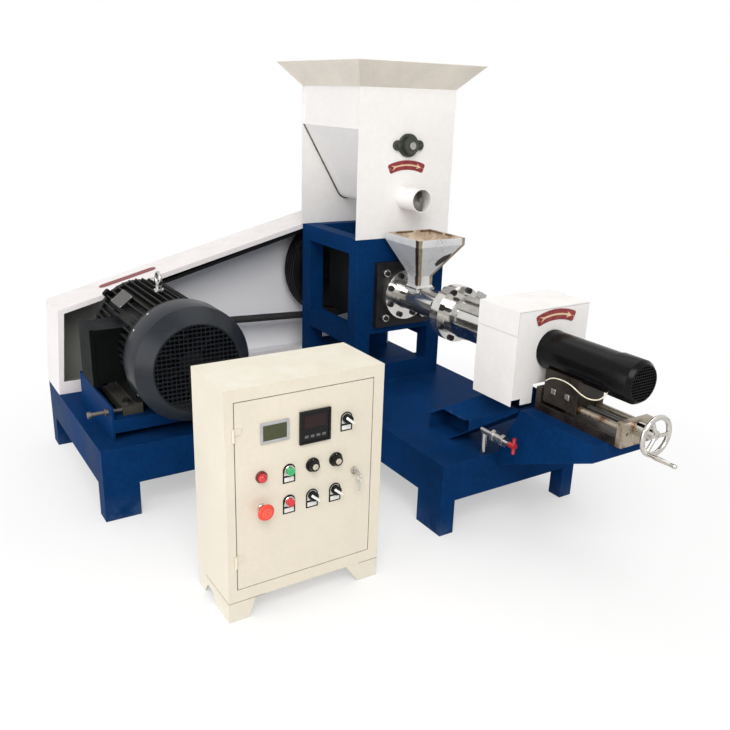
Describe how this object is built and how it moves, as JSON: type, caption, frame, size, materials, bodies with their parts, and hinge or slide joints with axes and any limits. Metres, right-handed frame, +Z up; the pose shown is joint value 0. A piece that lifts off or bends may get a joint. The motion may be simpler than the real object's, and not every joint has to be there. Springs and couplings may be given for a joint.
{
  "type": "fish feed extruder",
  "caption": "Screw extruder for fish feed on a welded table, with a belt drive, a feed bin, a pellet cutter on a slide and a free-standing control cabinet.",
  "frame": {"origin": "centre of the footprint of machine and cabinet together, on the floor", "axes": "+X along the screw from the drive to the cutter, +Y from the main motor side to the far side, +Z up"},
  "size_m": [2.049, 1.572, 1.517],
  "materials": {
    "blue_paint": "gloss",
    "white_paint": "gloss",
    "ivory_paint": "satin",
    "black_paint": "satin",
    "cowl_paint": "gloss",
    "red_paint": "gloss",
    "grey_paint": "satin",
    "steel": "polished",
    "dark_steel": "oily",
    "chrome": "polished",
    "cast_iron": "machined",
    "rubber": "matt",
    "black_plastic": "matt",
    "red_plastic": "gloss",
    "green_plastic": "gloss",
    "wire": "matt"
  },
  "bodies": {
    "machine": {"main_frame": "blue_paint", "motor_base": "blue_paint", "tower_frame": "blue_paint", "slide_bracket": "blue_paint", "bearing_plate": "black_paint", "bearing_housing": "cast_iron", "belt_guard": "white_paint", "motor_rail": "blue_paint", "tension_bolts": "steel", "motor_body": "black_paint", "motor_cowl": "cowl_paint", "motor_terminal_box": "black_paint", "motor_eye_bolt": "steel", "bin_body": "white_paint", "bin_rim": "white_paint", "auger_tube": "white_paint", "flange_bearing": "grey_paint", "inlet_hopper": "steel", "feed_barrel": "steel", "compression_barrel": "steel", "barrel_clamps": "steel", "barrel_bolts": "dark_steel", "die_plate": "steel", "discharge_chute": "blue_paint", "drain_valve": "dark_steel", "slide_base": "dark_steel", "feed_gearmotor": "grey_paint", "drive_belts": "rubber", "feed_chain": "dark_steel", "cabinet_body": "ivory_paint", "cabinet_feet": "ivory_paint"},
    "motor_train": {"motor_rotor": "dark_steel", "motor_pulley": "cast_iron"},
    "screw_train": {"main_pulley": "cast_iron", "main_shaft": "dark_steel", "extruder_screw": "dark_steel"},
    "auger": {"feed_auger": "steel"},
    "stirrer": {"agitator": "steel"},
    "carriage": {"slide_saddle": "black_paint", "cutter_motor": "black_paint", "cutter_cowl": "black_paint", "cutter_wire": "wire", "cutter_cover": "white_paint"},
    "lid": {"cutter_lid": "white_paint"},
    "knife": {"cutter_rotor": "steel"},
    "wheel": {"lead_screw": "dark_steel", "handwheel": "chrome"},
    "crank": {"crank_handle": "chrome"},
    "valve": {"valve_handle": "red_paint"},
    "door": {"cabinet_door": "ivory_paint", "door_instruments": "black_plastic"},
    "start": {"start_button": "green_plastic"},
    "stop": {"stop_button": "red_plastic"},
    "e_stop": {"emergency_stop": "red_plastic"},
    "selector_a": {"selector_left": "black_plastic"},
    "selector_b": {"selector_right": "black_plastic"},
    "selector_c": {"selector_upper": "black_plastic"},
    "knob_a": {"knob_left": "black_plastic"},
    "knob_b": {"knob_right": "black_plastic"},
    "lock": {"door_lock": "chrome"}
  },
  "joints": [
    {"name": "screw_spin", "type": "hinge", "parent": "machine", "child": "screw_train", "pos_m": [-0.3685, 0.496, 0.64], "axis": [1, 0, 0], "continuous": true},
    {"name": "motor_spin", "type": "hinge", "parent": "machine", "child": "motor_train", "pos_m": [-0.3685, -0.469, 0.535], "axis": [1, 0, 0], "continuous": true},
    {"name": "auger_spin", "type": "hinge", "parent": "machine", "child": "auger", "pos_m": [-0.3685, 0.496, 1.022], "axis": [1, 0, 0], "continuous": true},
    {"name": "stirrer_spin", "type": "hinge", "parent": "machine", "child": "stirrer", "pos_m": [-0.3685, 0.496, 1.22], "axis": [1, 0, 0], "continuous": true},
    {"name": "cutter_slide", "type": "slide", "parent": "machine", "child": "carriage", "axis": [1, 0, 0], "range_m": [0, 0.14]},
    {"name": "handwheel_spin", "type": "hinge", "parent": "machine", "child": "wheel", "pos_m": [0.8965, 0.496, 0.503], "axis": [1, 0, 0], "range_deg": [0, 10080]},
    {"name": "crank_spin", "type": "hinge", "parent": "wheel", "child": "crank", "pos_m": [0.9315, 0.46413, 0.45575], "axis": [1, 0, 0], "continuous": true},
    {"name": "knife_spin", "type": "hinge", "parent": "carriage", "child": "knife", "pos_m": [0.4315, 0.496, 0.64], "axis": [1, 0, 0], "continuous": true},
    {"name": "lid_hinge", "type": "hinge", "parent": "carriage", "child": "lid", "pos_m": [0.3915, 0.656, 0.774], "axis": [-1, 0, 0], "range_deg": [0, 100]},
    {"name": "valve_turn", "type": "hinge", "parent": "machine", "child": "valve", "pos_m": [0.5115, 0.342, 0.341], "axis": [1, 0, 0], "range_deg": [0, 90]},
    {"name": "door_hinge", "type": "hinge", "parent": "machine", "child": "door", "pos_m": [0.4825, -0.61, 0.375], "axis": [0, 0, -1], "range_deg": [0, 120]},
    {"name": "start_press", "type": "slide", "parent": "door", "child": "start", "axis": [-1, 0, 0], "range_m": [0, 0.003], "stiffness_N_per_m": 400},
    {"name": "stop_press", "type": "slide", "parent": "door", "child": "stop", "axis": [-1, 0, 0], "range_m": [0, 0.003], "stiffness_N_per_m": 400},
    {"name": "e_stop_press", "type": "slide", "parent": "door", "child": "e_stop", "axis": [-1, 0, 0], "range_m": [0, 0.005]},
    {"name": "selector_a_turn", "type": "hinge", "parent": "door", "child": "selector_a", "pos_m": [0.4865, -0.377, 0.334], "axis": [1, 0, 0], "range_deg": [-45, 45]},
    {"name": "selector_b_turn", "type": "hinge", "parent": "door", "child": "selector_b", "pos_m": [0.4865, -0.303, 0.334], "axis": [1, 0, 0], "range_deg": [-45, 45]},
    {"name": "selector_c_turn", "type": "hinge", "parent": "door", "child": "selector_c", "pos_m": [0.4865, -0.27, 0.546], "axis": [1, 0, 0], "range_deg": [-45, 45]},
    {"name": "knob_a_turn", "type": "hinge", "parent": "door", "child": "knob_a", "pos_m": [0.4865, -0.377, 0.428], "axis": [1, 0, 0], "range_deg": [-150, 150]},
    {"name": "knob_b_turn", "type": "hinge", "parent": "door", "child": "knob_b", "pos_m": [0.4865, -0.303, 0.428], "axis": [1, 0, 0], "range_deg": [-150, 150]},
    {"name": "lock_turn", "type": "hinge", "parent": "door", "child": "lock", "pos_m": [0.4785, -0.241, 0.379], "axis": [1, 0, 0], "range_deg": [0, 90]}
  ],
  "couplings": [
    {"joint": "motor_spin", "follows": "screw_spin", "ratio": 3.2818},
    {"joint": "stirrer_spin", "follows": "auger_spin", "ratio": 0.6469},
    {"joint": "handwheel_spin", "follows": "cutter_slide", "rad_per_m": 1256.6}
  ]
}
